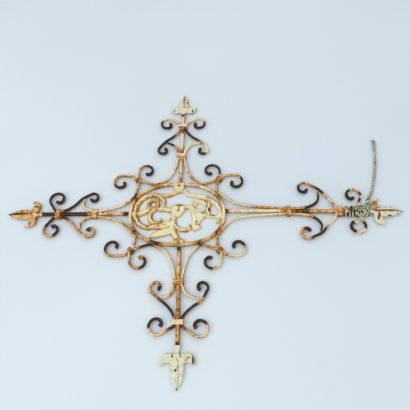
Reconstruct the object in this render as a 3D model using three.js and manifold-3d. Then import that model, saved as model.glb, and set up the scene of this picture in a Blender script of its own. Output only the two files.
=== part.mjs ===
// Wrought iron grave cross with a cast openwork centre, lying on its back, in millimetres.
// The ring's centre is the origin, on the flat back of the casting. +X runs down the shaft to the
// foot, +Y to the right arm and +Z out of the face.
import * as THREE from 'three';
import { mergeVertices } from 'three/addons/utils/BufferGeometryUtils.js';
import Module from 'manifold-3d';

const wasm = await Module();
wasm.setup();

// Iron stock
const mainWidth = 9;
const mainDepth = 8;
const scrollWidth = 5.5;
const scrollDepth = 6;
const curlSwell = 1.2;
const tailTaper = 0.55;
const tailGap = 1;
const fit = 0.3;

// Collars: a strap bent round the bars, its ends lapped at the back
const strap = 2;
const lap = 4;
const collarLength = 11;
const cornerCollarLength = 10;

// Ring: an oval a little squarer than an ellipse
const ringLong = 121;
const ringShort = 91;
const ringBar = 8;
const ringDepth = 8;
const ringSquareness = 2.3;

// Corners, where the scrolls of two arms meet back to back, from the ring's outer edges
const cornerInset = 15;
const cornerStandOff = 11;

// Finials, cast in one piece with their sockets
const finialLength = 89;
const finialSpread = 37;
const bladeHalf = 15;
const socketRadius = 7.5;
const stemRadius = 5.5;
const socketFlat = 0.6;
const wingDepth = 5;

// Casting: thickness of its bands, leaves and bosses
const bandHeight = 10;
const leafHeight = 8;
const bossHeight = 12;

// Rope: a cord doubled and tied round the foot, pulled flat where it is wound
const strand = 5;
const flatStrand = 3.4;
const tailWidth = 10;
const barTurns = 4;
const neckTurns = 4;
const barGap = 3;
const neckGap = 13;
const barLean = 2.5;
const neckLean = 6;
const crossSpread = 6;
const knotSide = 16.5;
const knotRadius = 3.4;

// Each arm, as it was forged: its direction in degrees and how far its bar misses the ring's centre,
// then the distances from the ring's edge to the middle of the inner collar, from there to the outer
// collar, and from there to the base of the finial
const arms = {
  head: { angle: 180, shift: 0, inner: 85, span: 94, neck: 39, sides: { left: 1, right: -1 } },
  right_arm: { angle: 90, shift: 5, inner: 89, span: 106, neck: 34, sides: { upper: 1, lower: -1 } },
  left_arm: { angle: -88.5, shift: 6, inner: 89, span: 93, neck: 48, sides: { upper: -1, lower: 1 } },
  foot: { angle: -0.8, shift: 7.5, inner: 156, span: 126, neck: 66, sides: { left: -1, right: 1 } },
};

// Middle of the bars above the flat back, and of a scroll bar beside a main bar
const middle = mainDepth / 2 + fit + lap;
const beside = mainWidth / 2 + fit + scrollWidth / 2;

const paintedIron = { color: 0xb59a63, roughness: 0.8, metalness: 0.2 };
const bareIron = { color: 0x3a241a, roughness: 0.7, metalness: 0.4 };
const castIron = { color: 0xcbb98a, roughness: 0.85, metalness: 0.1 };
const twine = { color: 0x8f8b6c, roughness: 0.95, metalness: 0 };

const cross = new THREE.Group();
cross.name = 'wrought_iron_cross';

function addMesh(name, geometry, look) {
  const mesh = new THREE.Mesh(geometry, new THREE.MeshStandardMaterial(look));
  mesh.name = name;
  cross.add(mesh);
}

// Solids joined and cut as closed meshes
function toSolid(geometry) {
  const bare = geometry.clone();
  bare.deleteAttribute('normal');
  bare.deleteAttribute('uv');
  const merged = mergeVertices(bare, 1e-4);
  return new wasm.Manifold(new wasm.Mesh({
    numProp: 3,
    vertProperties: new Float32Array(merged.attributes.position.array),
    triVerts: new Uint32Array(merged.index.array),
  }));
}

function toGeometry(solid) {
  const mesh = solid.getMesh();
  const geometry = new THREE.BufferGeometry();
  geometry.setAttribute('position', new THREE.BufferAttribute(mesh.vertProperties, 3));
  geometry.setIndex(new THREE.BufferAttribute(mesh.triVerts, 1));
  return geometry;
}

// Facets that lie within `flat` mm of each other become one
const flat = 0.3;
function joined(geometries) {
  return geometries.map(toSolid).reduce((all, next) => all.add(next)).simplify(flat);
}

// A smooth line through flat points: it keeps them, and a step between them for each bend of
// `most` degrees
const perPoint = 12;
function trace(points, most = 34) {
  const line = new THREE.CatmullRomCurve3(
    points.map(([x, y]) => new THREE.Vector3(x, y, 0)), false, 'centripetal');
  const count = (points.length - 1) * perPoint;
  const fine = line.getPoints(count);
  const kept = [];
  let turned = 0;
  fine.forEach((point, i) => {
    if (i > 0 && i < count) {
      const before = point.clone().sub(fine[i - 1]);
      turned += THREE.MathUtils.radToDeg(before.angleTo(fine[i + 1].clone().sub(point)));
    }
    if (i % perPoint === 0 || turned > most) {
      kept.push(point);
      turned = 0;
    }
  });
  return kept;
}

// Sections, as corners going round with the bar's left side first across and the face upwards
const square = (w, d) => [[w / 2, -d / 2], [w / 2, d / 2], [-w / 2, d / 2], [-w / 2, -d / 2]];
const hexagon = (w, d) => [0, 1, 2, 3, 4, 5].map((i) => {
  const a = THREE.MathUtils.degToRad(30 + 60 * i);
  return [w / 2 * Math.cos(a) / Math.cos(Math.PI / 6), d / 2 * Math.sin(a)];
});
const diamond = (w, d) => [[w / 2, 0], [0, d / 2], [-w / 2, 0], [0, -d / 2]];
const ridged = (w, d) => [[w / 2, 0], [0.42 * w, 0.6 * d], [0, d], [-0.42 * w, 0.6 * d], [-w / 2, 0]];

// A bar bent along a traced line, with its width and depth at each share of its length
function bend(line, section, widthAt, depthAt, closed = false) {
  const along = [0];
  for (let i = 1; i < line.length; i += 1) {
    along.push(along[i - 1] + line[i].distanceTo(line[i - 1]));
  }
  const positions = [];
  const index = [];
  const last = line.length - 1;
  let sides = 0;
  line.forEach((point, i) => {
    const before = line[i > 0 ? i - 1 : closed ? last : 0];
    const after = line[i < last ? i + 1 : closed ? 0 : last];
    const tangent = after.clone().sub(before).normalize();
    const share = along[i] / along[last];
    const corners = section(widthAt(share), depthAt(share));
    sides = corners.length;
    for (const [n, z] of corners) {
      positions.push(point.x - tangent.y * n, point.y + tangent.x * n, point.z + z);
    }
  });
  const steps = closed ? line.length : last;
  for (let i = 0; i < steps; i += 1) {
    const j = (i + 1) % line.length;
    for (let k = 0; k < sides; k += 1) {
      const m = (k + 1) % sides;
      index.push(i * sides + k, i * sides + m, j * sides + m);
      index.push(i * sides + k, j * sides + m, j * sides + k);
    }
  }
  if (!closed) {
    for (let k = 1; k < sides - 1; k += 1) {
      index.push(0, k + 1, k);
      index.push(last * sides, last * sides + k, last * sides + k + 1);
    }
  }
  const geometry = new THREE.BufferGeometry();
  geometry.setAttribute('position', new THREE.Float32BufferAttribute(positions, 3));
  geometry.setIndex(index);
  return geometry;
}

const always = (size) => () => size;

// The oval: a point on the ring's middle line at an angle, moved outwards by `out`
function onRing(degrees, out = 0) {
  const a = THREE.MathUtils.degToRad(degrees);
  const power = (v) => Math.sign(v) * Math.abs(v) ** (2 / ringSquareness);
  const x = (ringLong - ringBar / 2) * power(Math.cos(a));
  const y = (ringShort - ringBar / 2) * power(Math.sin(a));
  const nx = Math.sign(x) * Math.abs(x / ringLong) ** (ringSquareness - 1) / ringLong;
  const ny = Math.sign(y) * Math.abs(y / ringShort) ** (ringSquareness - 1) / ringShort;
  const size = Math.hypot(nx, ny);
  return [x + out * nx / size, y + out * ny / size];
}

const ringSteps = 44;
const aroundRing = (out) => Array.from({ length: ringSteps }, (_, i) => {
  const [x, y] = onRing(360 * i / ringSteps, out);
  return new THREE.Vector3(x, y, 0);
});
const ringShape = bend(aroundRing(0), square, always(ringBar), always(ringDepth), true);
addMesh('oval_ring', ringShape.translate(0, 0, middle), paintedIron);

// An arm's own directions: `across` from its bar and `along` it, outwards from the ring's middle
function armFrame(name) {
  const arm = arms[name];
  const a = THREE.MathUtils.degToRad(arm.angle);
  const out = [Math.cos(a), Math.sin(a)];
  const left = [-out[1], out[0]];
  const alongShaft = Math.abs(out[0]) > Math.abs(out[1]);
  const base = alongShaft ? [0, arm.shift] : [arm.shift, 0];
  const edge = alongShaft ? ringLong : ringShort;
  return {
    ...arm,
    edge,
    innerAt: edge + arm.inner,
    outerAt: edge + arm.inner + arm.span,
    baseAt: edge + arm.inner + arm.span + arm.neck,
    place: (across, along, side) => [
      base[0] + out[0] * along + left[0] * across * side,
      base[1] + out[1] * along + left[1] * across * side,
    ],
    local: ([x, y], side) => [
      side * ((x - base[0]) * left[0] + (y - base[1]) * left[1]),
      (x - base[0]) * out[0] + (y - base[1]) * out[1],
    ],
    cornerAt: (side) => [
      Math.sign(out[0] + left[0] * side) * (ringLong - cornerInset),
      Math.sign(out[1] + left[1] * side) * (ringShort + cornerStandOff),
    ],
    matrix: new THREE.Matrix4().makeBasis(
      new THREE.Vector3(-left[0], -left[1], 0),
      new THREE.Vector3(...out, 0),
      new THREE.Vector3(0, 0, 1),
    ).setPosition(base[0], base[1], 0),
  };
}

const frames = Object.fromEntries(Object.keys(arms).map((name) => [name, armFrame(name)]));

// A curl, from its wide start to its tip: it keeps its width at first and hooks in at the end
function curl([across, along], { from, turn, wide, tip, hook }) {
  const steps = Math.round(Math.abs(turn) / 30);
  return Array.from({ length: steps + 1 }, (_, i) => {
    const share = i / steps;
    const a = THREE.MathUtils.degToRad(from + turn * share);
    const radius = tip + (wide - tip) * (1 - share ** hook);
    return [across + radius * Math.cos(a), along + radius * Math.sin(a)];
  });
}

const cornerCurl = { from: -12, turn: 285, wide: 22, tip: 5, hook: 2.2 };
const innerCurl = { from: 42, turn: -270, wide: 13.5, tip: 5, hook: 3 };
const footInnerCurl = { from: 46, turn: -280, wide: 16.5, tip: 6, hook: 3 };
const outerCurl = { from: 135, turn: -315, wide: 18.5, tip: 6, hook: 5 };

// Bracket scrolls. `eye` is the middle of the corner curl from the corner, `lead` the way there,
// `hip` the way from the corner to the ring, and `touch` the place on the ring, in degrees. `sweep`
// gives how far the bar stands off the main bar at shares of the way to the inner collar, and
// `tail` does so at shares of the way from the inner collar to the outer one.
const sideBracket = {
  eye: [-20, 25],
  lead: [],
  hip: [[-28, -11]],
  touch: 64,
  sweep: [[37, 0.04], [21, 0.2], [9.5, 0.46], [2.5, 0.77]],
  tail: [[3.5, 0.17], [10, 0.3], [22, 0.385]],
};
const closeHip = { hip: [[-20, -6.5], [-33, -6.5]], touch: 38 };
const headBracket = {
  eye: [-8, 42],
  lead: [[13, 14]],
  hip: [[-30, 0]],
  touch: 29,
  sweep: [[27, 0.05], [14, 0.27], [5.5, 0.59], [1, 0.84]],
  tail: [[3, 0.17], [9, 0.29], [19, 0.36]],
};
const footBracket = {
  eye: [-8, 40],
  lead: [[13, 14]],
  ...closeHip,
  sweep: [[27, 0.04], [15, 0.16], [7, 0.38], [1.5, 0.76]],
  tail: [[1, 0.24], [6, 0.42], [17, 0.56], [32, 0.62]],
};

// S-scrolls, from the outer collar's middle: the eyes of both curls, the diagonal between them, and
// how far the bar runs on beside the main bar before its outer curl. No two were bent quite alike.
const sideScroll = {
  innerEye: [51, -85],
  diagonal: [[46, -56], [27, -40], [14, -24]],
  outerEye: [43, 10],
  runOn: 9,
  inner: innerCurl,
};
const footScroll = {
  innerEye: [68, -80],
  diagonal: [[64, -44], [43, -27], [22, -13.5]],
  outerEye: [46, 40],
  runOn: 44,
  inner: footInnerCurl,
};
const work = {
  head: {
    left: { bracket: { ...headBracket, ...closeHip }, scroll: sideScroll },
    right: { bracket: headBracket, scroll: { ...sideScroll, innerEye: [47, -82] } },
  },
  right_arm: {
    upper: { bracket: sideBracket, scroll: sideScroll },
    lower: {
      bracket: sideBracket,
      scroll: { ...sideScroll, innerEye: [57, -86], diagonal: [[51, -57], [29, -41], [14, -24]] },
    },
  },
  left_arm: {
    upper: { bracket: sideBracket, scroll: { ...sideScroll, innerEye: [51, -80], outerEye: [45, 7] } },
    lower: {
      bracket: sideBracket,
      scroll: { ...sideScroll, innerEye: [54, -77], diagonal: [[51, -46], [36, -37], [18, -22]],
        outerEye: [46, 13] },
    },
  },
  foot: {
    left: {
      bracket: footBracket,
      scroll: { ...footScroll, innerEye: [59, -83], diagonal: [[58, -48], [38, -32], [20, -15]],
        outerEye: [39, 39] },
    },
    right: { bracket: footBracket, scroll: footScroll },
  },
};

// The same stand-off at both ends of a collar keeps the bar straight in it
function throughCollar(at) {
  const half = collarLength / 2 + 2;
  return [[beside, at - half], [beside, at], [beside, at + half]];
}

function scrollRoute(frame, { innerEye, diagonal, outerEye, runOn, inner }) {
  const shift = ([across, along]) => [across, frame.outerAt + along];
  const collared = throughCollar(frame.outerAt);
  const run = runOn > collarLength ? [[beside, frame.outerAt + runOn]] : [];
  return [
    ...curl(shift(innerEye), inner).reverse(),
    ...diagonal.map(shift),
    ...collared,
    ...run,
    ...curl(shift(outerEye), outerCurl),
  ];
}

// A bar that the eye follows: thick at its curled ends and, where asked, thinned to a tail
const curled = (share) => scrollWidth * (1 + (curlSwell - 1) * Math.abs(2 * share - 1) ** 6);
const tailed = (share) => scrollWidth * (share < 0.5
  ? 1 + (curlSwell - 1) * (1 - 2 * share) ** 6
  : 1 - (1 - tailTaper) * (2 * share - 1) ** 4);

// A bracket's corner in its arm's directions: the diagonal through it, outwards, and the way from
// the diagonal to this bracket's own side
function cornerFrame(frame, side) {
  const corner = frame.local(frame.cornerAt(side), side);
  const centre = frame.local([0, 0], side);
  const size = Math.hypot(corner[0] - centre[0], corner[1] - centre[1]);
  const out = [(corner[0] - centre[0]) / size, (corner[1] - centre[1]) / size];
  const own = [-out[1], out[0]];
  const at = (move, stand) => [
    corner[0] + out[0] * move + own[0] * stand, corner[1] + out[1] * move + own[1] * stand];
  const measure = ([a, l]) => [
    (a - corner[0]) * out[0] + (l - corner[1]) * out[1],
    (a - corner[0]) * own[0] + (l - corner[1]) * own[1]];
  return { corner, at, measure };
}

const cornerStand = (scrollWidth + fit) / 2;
const cornerHalf = cornerCollarLength / 2 + 2;
const besideRing = fit + scrollWidth / 2;

function bracketRoute(frame, side, bracket, shoulder) {
  const { corner, at } = cornerFrame(frame, side);
  const fromCorner = ([a, l]) => [corner[0] + a, corner[1] + l];
  const quadrant = frame.cornerAt(side).map(Math.sign);
  const touch = onRing(bracket.touch, ringBar / 2 + besideRing).map((v, i) => v * quadrant[i]);
  const sweep = bracket.sweep.map(([off, share]) => [beside + off, frame.edge + share * frame.inner]);
  const tail = bracket.tail.map(([off, share]) => [beside + off, frame.innerAt + share * frame.span]);
  return [
    ...curl(fromCorner(bracket.eye), cornerCurl).reverse(),
    ...bracket.lead.map(fromCorner),
    at(cornerHalf, cornerStand), at(-cornerHalf, cornerStand),
    ...bracket.hip.map(fromCorner),
    frame.local(touch, side),
    ...sweep,
    ...throughCollar(frame.innerAt),
    ...tail,
    shoulder,
  ];
}

// Bars that lie together don't press into each other: a scroll stays off the main bar, and a
// bracket also off the ring and on its own side of the diagonal near its corner
const offMainBar = ([a, l]) => [Math.max(a, beside), l];

function offRing(frame, side) {
  const long = ringLong + besideRing + fit;
  const short = ringShort + besideRing + fit;
  return (point) => {
    const [x, y] = frame.place(...point, side);
    const size = (Math.abs(x / long) ** ringSquareness + Math.abs(y / short) ** ringSquareness)
      ** (1 / ringSquareness);
    return size < 1 ? frame.local([x / size, y / size], side) : point;
  };
}

function offDiagonal(frame, side) {
  const { at, measure } = cornerFrame(frame, side);
  return (point) => {
    const [move, stand] = measure(point);
    return Math.abs(move) < 3 * cornerHalf ? at(move, Math.max(stand, cornerStand)) : point;
  };
}

// Where a bracket's tail ends: just inside the S-scroll's diagonal
function shoulderOf(frame, { diagonal }) {
  const [[a0, l0], [a1, l1]] = diagonal;
  const length = Math.hypot(a1 - a0, l1 - l0);
  const clear = scrollWidth / 2 + fit + tailTaper * scrollWidth / 2 + tailGap;
  return [a0 + (l0 - l1) / length * clear, frame.outerAt + l0 + (a1 - a0) / length * clear];
}

for (const [name, frame] of Object.entries(frames)) {
  for (const [sideName, side] of Object.entries(frame.sides)) {
    const { bracket, scroll } = work[name][sideName];
    const lay = (route, ...holds) => trace(route).map((point) => {
      const held = holds.reduce((p, hold) => hold(p), [point.x, point.y]);
      return new THREE.Vector3(...frame.place(...held, side), middle);
    });
    const scrollLine = lay(scrollRoute(frame, scroll), offMainBar);
    addMesh(`s_scroll_${name}_${sideName}`,
      bend(scrollLine, square, curled, always(scrollDepth)), bareIron);
    const route = bracketRoute(frame, side, bracket, shoulderOf(frame, scroll));
    const bracketLine = lay(route, offMainBar, offRing(frame, side), offDiagonal(frame, side));
    addMesh(`bracket_scroll_${name}_${sideName}`,
      bend(bracketLine, square, tailed, always(scrollDepth)), paintedIron);
  }
}

// Main bars, from the ring to the finials
for (const [name, frame] of Object.entries(frames)) {
  const start = frame.edge + fit;
  const length = frame.baseAt - fit - start;
  const bar = new THREE.BoxGeometry(mainWidth, length, mainDepth);
  bar.translate(0, start + length / 2, middle);
  addMesh(`main_bar_${name}`, bar.applyMatrix4(frame.matrix), paintedIron);
}

// Collars
function collar(halfWidth, halfDepth, length, back) {
  const wide = halfWidth + strap;
  const shape = new THREE.Shape([
    new THREE.Vector2(-wide, -halfDepth - back), new THREE.Vector2(wide, -halfDepth - back),
    new THREE.Vector2(wide, halfDepth + strap), new THREE.Vector2(-wide, halfDepth + strap),
  ]);
  shape.holes.push(new THREE.Path([
    new THREE.Vector2(-halfWidth, -halfDepth), new THREE.Vector2(-halfWidth, halfDepth),
    new THREE.Vector2(halfWidth, halfDepth), new THREE.Vector2(halfWidth, -halfDepth),
  ]));
  const geometry = new THREE.ExtrudeGeometry(shape, { depth: length, bevelEnabled: false });
  return geometry.translate(0, 0, -length / 2).rotateX(Math.PI / 2);
}

const bundleHalf = beside + scrollWidth / 2 + fit;
for (const [name, frame] of Object.entries(frames)) {
  for (const [place, along] of [['inner', frame.innerAt], ['outer', frame.outerAt]]) {
    const geometry = collar(bundleHalf, mainDepth / 2 + fit, collarLength, lap);
    geometry.translate(0, along, middle);
    addMesh(`collar_${name}_${place}`, geometry.applyMatrix4(frame.matrix), paintedIron);
  }
}
for (const [name, across, along] of [
  ['upper_right', -1, 1], ['upper_left', -1, -1], ['lower_right', 1, 1], ['lower_left', 1, -1],
]) {
  const x = across * (ringLong - cornerInset);
  const y = along * (ringShort + cornerStandOff);
  const geometry = collar(scrollWidth + 1.5 * fit, scrollDepth / 2 + fit, cornerCollarLength, strap);
  geometry.rotateZ(Math.atan2(y, x) - Math.PI / 2).translate(x, y, middle);
  addMesh(`corner_collar_${name}`, geometry, paintedIron);
}

// Finials: a socket and stem, a pair of leaves that sweep out and curl forward, and a ridged spear
// blade. A leaf's outline is in shares of the spread and length. On the shaft's two finials the
// leaves sit further back and turn a little.
const leafOutline = [[0.15, 0.2], [0.48, 0.175], [0.74, 0.185], [0.92, 0.26], [1, 0.37], [1, 0.47],
  [0.88, 0.455], [0.78, 0.4], [0.6, 0.385], [0.4, 0.4]];
const leavesSit = { head: { back: 4, turn: -5 }, foot: { back: 2, turn: 6 } };

function finial({ back = 0, turn = 0 } = {}) {
  const turnedLine = [[0, 0], [0.9, 0], [1, 0.02], [1, 0.06], [0.66, 0.1], [0.66, 0.16]]
    .map(([r, share]) => [r * socketRadius, share * finialLength])
    .concat([[stemRadius, 0.2 * finialLength], [stemRadius, 0.42 * finialLength], [0, 0.44 * finialLength]]);
  const turned = new THREE.LatheGeometry(turnedLine.map(([r, l]) => new THREE.Vector2(r, l)), 8);
  const outline = [...leafOutline, ...leafOutline.map(([a, l]) => [-a, l]).reverse()]
    .map(([a, l]) => new THREE.Vector2(a * finialSpread, l * finialLength));
  const bevel = wingDepth / 4;
  const leafMiddle = 0.3 * finialLength;
  const leaves = new THREE.ExtrudeGeometry(new THREE.Shape(outline), {
    depth: wingDepth - 2 * bevel, bevelEnabled: true, bevelThickness: bevel, bevelSize: bevel,
    bevelOffset: -bevel, bevelSegments: 1,
  }).translate(0, -leafMiddle, bevel - wingDepth / 2).rotateZ(THREE.MathUtils.degToRad(turn))
    .translate(0, leafMiddle - back, 0);
  const bladeAt = (share) => 2 * bladeHalf * Math.max(0.06, Math.sin(Math.PI * (0.3 + 0.7 * share)) ** 0.8);
  const bladeLine = [0.34, 0.4, 0.5, 0.62, 0.76, 0.88, 1]
    .map((share) => new THREE.Vector3(0, share * finialLength, 0));
  const blade = bend(bladeLine, diamond, bladeAt, (share) => bladeAt(share) * 0.4);
  return toGeometry(joined([turned.scale(1, 1, socketFlat), leaves, blade]));
}

for (const [name, frame] of Object.entries(frames)) {
  const geometry = finial(leavesSit[name]).translate(0, frame.baseAt, middle);
  addMesh(`finial_${name}`, geometry.applyMatrix4(frame.matrix), castIron);
}

// Casting: scrolls, leaves and bosses in shares of the ring's opening, flat at the back
const openLong = ringLong - ringBar;
const openShort = ringShort - ringBar;
const inCasting = ([x, y]) => [x / 100 * openLong, y / 100 * openShort];

function band(points, wide, narrow = 0.5, height = bandHeight) {
  const line = trace(points.map(inCasting), 40);
  const taper = (share) => 1 - (1 - narrow) * Math.abs(2 * share - 1) ** 2.5;
  return bend(line, ridged, (share) => wide * taper(share), (share) => height * (0.7 + 0.3 * taper(share)));
}

function volute([x, y], radius, turns, start, wide) {
  const steps = Math.round(turns * 8);
  const points = Array.from({ length: steps + 1 }, (_, i) => {
    const a = THREE.MathUtils.degToRad(start) + i / steps * turns * 2 * Math.PI;
    const r = radius * (1 - 0.25 * i / steps);
    return [x + 100 * r * Math.cos(a) / openLong, y + 100 * r * Math.sin(a) / openShort];
  });
  return band(points, wide, 0.8);
}

function leaf(points, height = leafHeight) {
  const shape = new THREE.Shape(points.map((p) => new THREE.Vector2(...inCasting(p))));
  return new THREE.ExtrudeGeometry(shape, {
    depth: height - 2.5, bevelEnabled: true, bevelThickness: 2.5, bevelSize: 2, bevelOffset: -2,
    bevelSegments: 1,
  });
}

const castingPieces = [
  // The crescents that hug the ring
  band([[2, 88], [-11, 73], [-26, 66], [-42, 67], [-57, 70], [-73, 64], [-84, 51], [-92, 33], [-94, 10],
    [-92, -12], [-85, -30], [-74, -41], [-62, -46], [-47, -42], [-30, -34], [-13, -22]], 12, 0.55),
  band([[4, 92], [14, 84], [24, 69], [42, 65], [59, 60], [75, 48], [87, 35], [95, 16], [97, -4],
    [94, -19], [87, -30]], 11, 0.5),
  // Left side
  band([[-57, 69], [-41, 64], [-31, 47], [-31, 28], [-40, 15]], 10, 0.7),
  volute([-54, 34], 15, 1.05, 40, 8),
  leaf([[-96, -5], [-82, -4], [-62, 8], [-60, 22], [-70, 17], [-84, 8], [-97, 8]]),
  band([[-34, 20], [-50, 17], [-59, 5], [-61, -10], [-57, -25], [-47, -32], [-37, -27], [-35, -16]], 9, 0.6),
  band([[-40, 16], [-30, 19], [-20, 16], [-4, 11]], 12, 0.9),
  // Middle
  leaf([[-13, 27], [3, 34], [19, 27], [15, 11], [8, -7], [-9, -10], [-12, 4]], bandHeight),
  band([[-5, 5], [-8, -13], [-7, -30], [-9, -48]], 13, 0.85),
  band([[-7, -26], [-1, -42], [9, -53], [21, -55], [29, -48], [27, -36]], 8, 0.6),
  band([[14, 25], [33, 25]], 9, 0.9),
  // Right side
  band([[35, 44], [33, 22], [38, 0], [42, -18], [38, -36], [28, -51]], 12, 0.6),
  volute([49, 27], 18, 1.1, 150, 9),
  band([[72, 50], [72, 34], [68, 12], [72, -6]], 10, 0.8),
  leaf([[34, 8], [54, 4], [60, -10], [52, -26], [48, -36], [54, -49], [47, -50], [42, -57],
    [36, -52], [34, -40], [36, -18]]),
  band([[52, -4], [72, -8], [92, -12]], 8, 0.9),
  // Bottom
  band([[6, -94], [1, -80], [-5, -61], [-10, -42]], 14, 0.7),
  leaf([[-6, -44], [-14, -46], [-27, -51], [-41, -58], [-52, -66], [-57, -78], [-46, -79],
    [-34, -75], [-20, -70], [-6, -65], [0, -68]]),
  leaf([[-8, -24], [-20, -27], [-36, -38], [-50, -50], [-30, -48], [-10, -42]]),
  // Bosses on the ring
  leaf([[-10, 104], [-6, 84], [2, 76], [10, 84], [14, 104]], bossHeight),
  leaf([[-7, -104], [-5, -90], [6, -84], [17, -90], [19, -104]], bossHeight),
  leaf([[-104, -9], [-90, -7], [-90, 9], [-104, 11]], bandHeight),
  leaf([[104, -16], [88, -18], [88, 0], [104, 2]], bandHeight),
];
const opening = new THREE.Shape(aroundRing(-ringBar / 2 - fit).map((p) => new THREE.Vector2(p.x, p.y)));
const openingBlock = new THREE.ExtrudeGeometry(opening, { depth: bossHeight + 1, bevelEnabled: false });
const casting = joined(castingPieces).intersect(toSolid(openingBlock)).simplify(flat);
addMesh('openwork_casting', toGeometry(casting), castIron);

// Rope turns round the foot: closed loops of cord across the bar, leaning to either side. Round flat
// iron their corners are tight, at `corner` below 1.
function loop(halfWidth, halfDepth, corner, steps) {
  const power = (v) => Math.sign(v) * Math.abs(v) ** corner;
  const line = Array.from({ length: steps }, (_, i) => {
    const a = 2 * Math.PI * i / steps;
    return new THREE.Vector3(halfWidth * power(Math.cos(a)), halfDepth * power(Math.sin(a)), 0);
  });
  return bend(line, hexagon, always(flatStrand), always(strand), true);
}

const tightCorner = 0.4;
function ropeTurn(innerWidth, innerDepth, along, lean, steps) {
  return loop(innerWidth + flatStrand / 2, innerDepth + flatStrand / 2, tightCorner, steps)
    .rotateX(Math.PI / 2).rotateZ(THREE.MathUtils.degToRad(lean)).translate(0, along, middle);
}

const foot = frames.foot;
const pitch = strand * 0.9;
const runOnEnd = foot.outerAt + footScroll.runOn;
const barEnd = runOnEnd - strand / 2 - barGap;
const neckStart = runOnEnd + neckGap;
const neckWidth = socketRadius + 1;
const neckDepth = Math.max(mainDepth / 2, socketRadius * socketFlat) + fit;
const leaning = (i, lean) => (i % 2 ? lean : -lean);
const barLoops = Array.from({ length: barTurns }, (_, i) => ropeTurn(bundleHalf + fit,
  mainDepth / 2 + fit, barEnd - (barTurns - 1 - i) * pitch, leaning(i, barLean), 12));
const neckLoops = Array.from({ length: neckTurns }, (_, i) => ropeTurn(neckWidth,
  neckDepth, neckStart + i * pitch, leaning(i, neckLean), 8));

// Two lengths of the cord cross over the main bar between the windings
const crossTop = middle + neckDepth + strand / 2;
const crossings = [-1, 1].map((side) => bend(
  [[1, barEnd - pitch], [1 / 3, barEnd + pitch], [-1 / 3, neckStart - pitch], [-1, neckStart + pitch]]
    .map(([a, l]) => new THREE.Vector3(side * a * crossSpread, l, crossTop)),
  hexagon, always(strand), always(flatStrand)));

// The knot, at the side of the neck: two turns on edge, one lying flat, and the cord inside them
const knotAt = [-knotSide, neckStart + (neckTurns - 1.5) * pitch, middle];
const knotTurn = () => loop(knotRadius, knotRadius, 1, 7);
const knot = [20, 110].map((turn) => knotTurn()
  .rotateX(Math.PI / 2).rotateZ(THREE.MathUtils.degToRad(turn)).translate(...knotAt));
knot.push(knotTurn().translate(...knotAt));
const knotFill = new THREE.IcosahedronGeometry(knotRadius, 0).translate(...knotAt);
const binding = joined([...barLoops, ...neckLoops, ...crossings, ...knot, knotFill]);
addMesh('rope_binding', toGeometry(binding).applyMatrix4(foot.matrix), twine);

// The doubled end that leaves the knot, as a line through its middle on the ground
const tailRoute = [[475.5, 26, 5.6], [480, 37.5, 5.1], [486.5, 49, 5], [493, 60, 5], [498.5, 72, 5],
  [502.4, 83, 5], [506.2, 94.5, 5], [509.8, 106, 5], [513.6, 120, 5], [517, 134.5, 5], [520.1, 149, 5],
  [522.5, 161.5, 5], [524.7, 174, 5], [526.5, 186, 5], [528, 198, 5], [529.1, 209, 5],
  [529.7, 219, 5], [530, 227.5, 5]];
const tailSides = 8;
const tailLine = new THREE.CatmullRomCurve3(tailRoute.map((p) => new THREE.Vector3(...p)));
const tailSection = new THREE.Shape(Array.from({ length: tailSides }, (_, i) => {
  const a = 2 * Math.PI * (i + 0.5) / tailSides;
  return new THREE.Vector2(tailWidth / 2 * Math.cos(a), tailWidth / 2 * Math.sin(a));
}));
addMesh('rope_tail', new THREE.ExtrudeGeometry(tailSection, {
  steps: 14, bevelEnabled: false, extrudePath: tailLine,
}), twine);

export default cross;
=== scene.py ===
import math

import bmesh
import bpy
from mathutils import Matrix, Vector, kdtree, noise


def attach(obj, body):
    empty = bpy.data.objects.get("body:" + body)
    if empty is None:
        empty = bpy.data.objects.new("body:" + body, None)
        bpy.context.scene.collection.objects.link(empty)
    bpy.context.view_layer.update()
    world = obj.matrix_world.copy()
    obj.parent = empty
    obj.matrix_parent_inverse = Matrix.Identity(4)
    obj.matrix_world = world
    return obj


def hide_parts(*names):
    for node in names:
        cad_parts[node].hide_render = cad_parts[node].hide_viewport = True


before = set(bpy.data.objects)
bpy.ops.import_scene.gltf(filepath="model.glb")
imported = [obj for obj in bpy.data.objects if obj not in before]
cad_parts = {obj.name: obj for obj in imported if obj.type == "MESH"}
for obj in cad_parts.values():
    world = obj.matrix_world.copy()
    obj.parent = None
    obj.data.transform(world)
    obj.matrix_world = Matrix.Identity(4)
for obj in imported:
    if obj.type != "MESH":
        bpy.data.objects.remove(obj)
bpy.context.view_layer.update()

# The view: a phone held by hand about a metre above the cross, tilted towards its left arm, with the
# shaft lying across the picture.
TILT, TURN, ROLL = math.radians(31.13), math.radians(3.31), math.radians(-3.33)
LOOKED_AT = Vector((0.0698, 0.0238, 0.008))
DISTANCE = 1.0606
SENSOR_WIDTH = 36.0
FOCUS_PIXELS, PICTURE_PIXELS = 420, 410


def placed(name, data):
    """An object in the scene."""
    item = bpy.data.objects.new(name, data)
    bpy.context.scene.collection.objects.link(item)
    return item


camera_data = bpy.data.cameras.new("camera")
camera_data.lens = SENSOR_WIDTH * FOCUS_PIXELS / PICTURE_PIXELS
camera_data.clip_start, camera_data.clip_end = 0.05, 20
camera = placed("camera", camera_data)
bpy.context.scene.camera = camera
bpy.context.scene.view_settings.view_transform = "Standard"
back = Vector((math.sin(TURN) * math.sin(TILT), -math.cos(TURN) * math.sin(TILT), math.cos(TILT)))
level = Vector((math.cos(TURN), math.sin(TURN), 0))
upright = back.cross(level)
across = level * math.cos(ROLL) + upright * math.sin(ROLL)
above = upright * math.cos(ROLL) - level * math.sin(ROLL)
camera.matrix_world = Matrix.Translation(LOOKED_AT + back * DISTANCE) @ Matrix(
    (across, above, back)).transposed().to_4x4()

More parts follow.
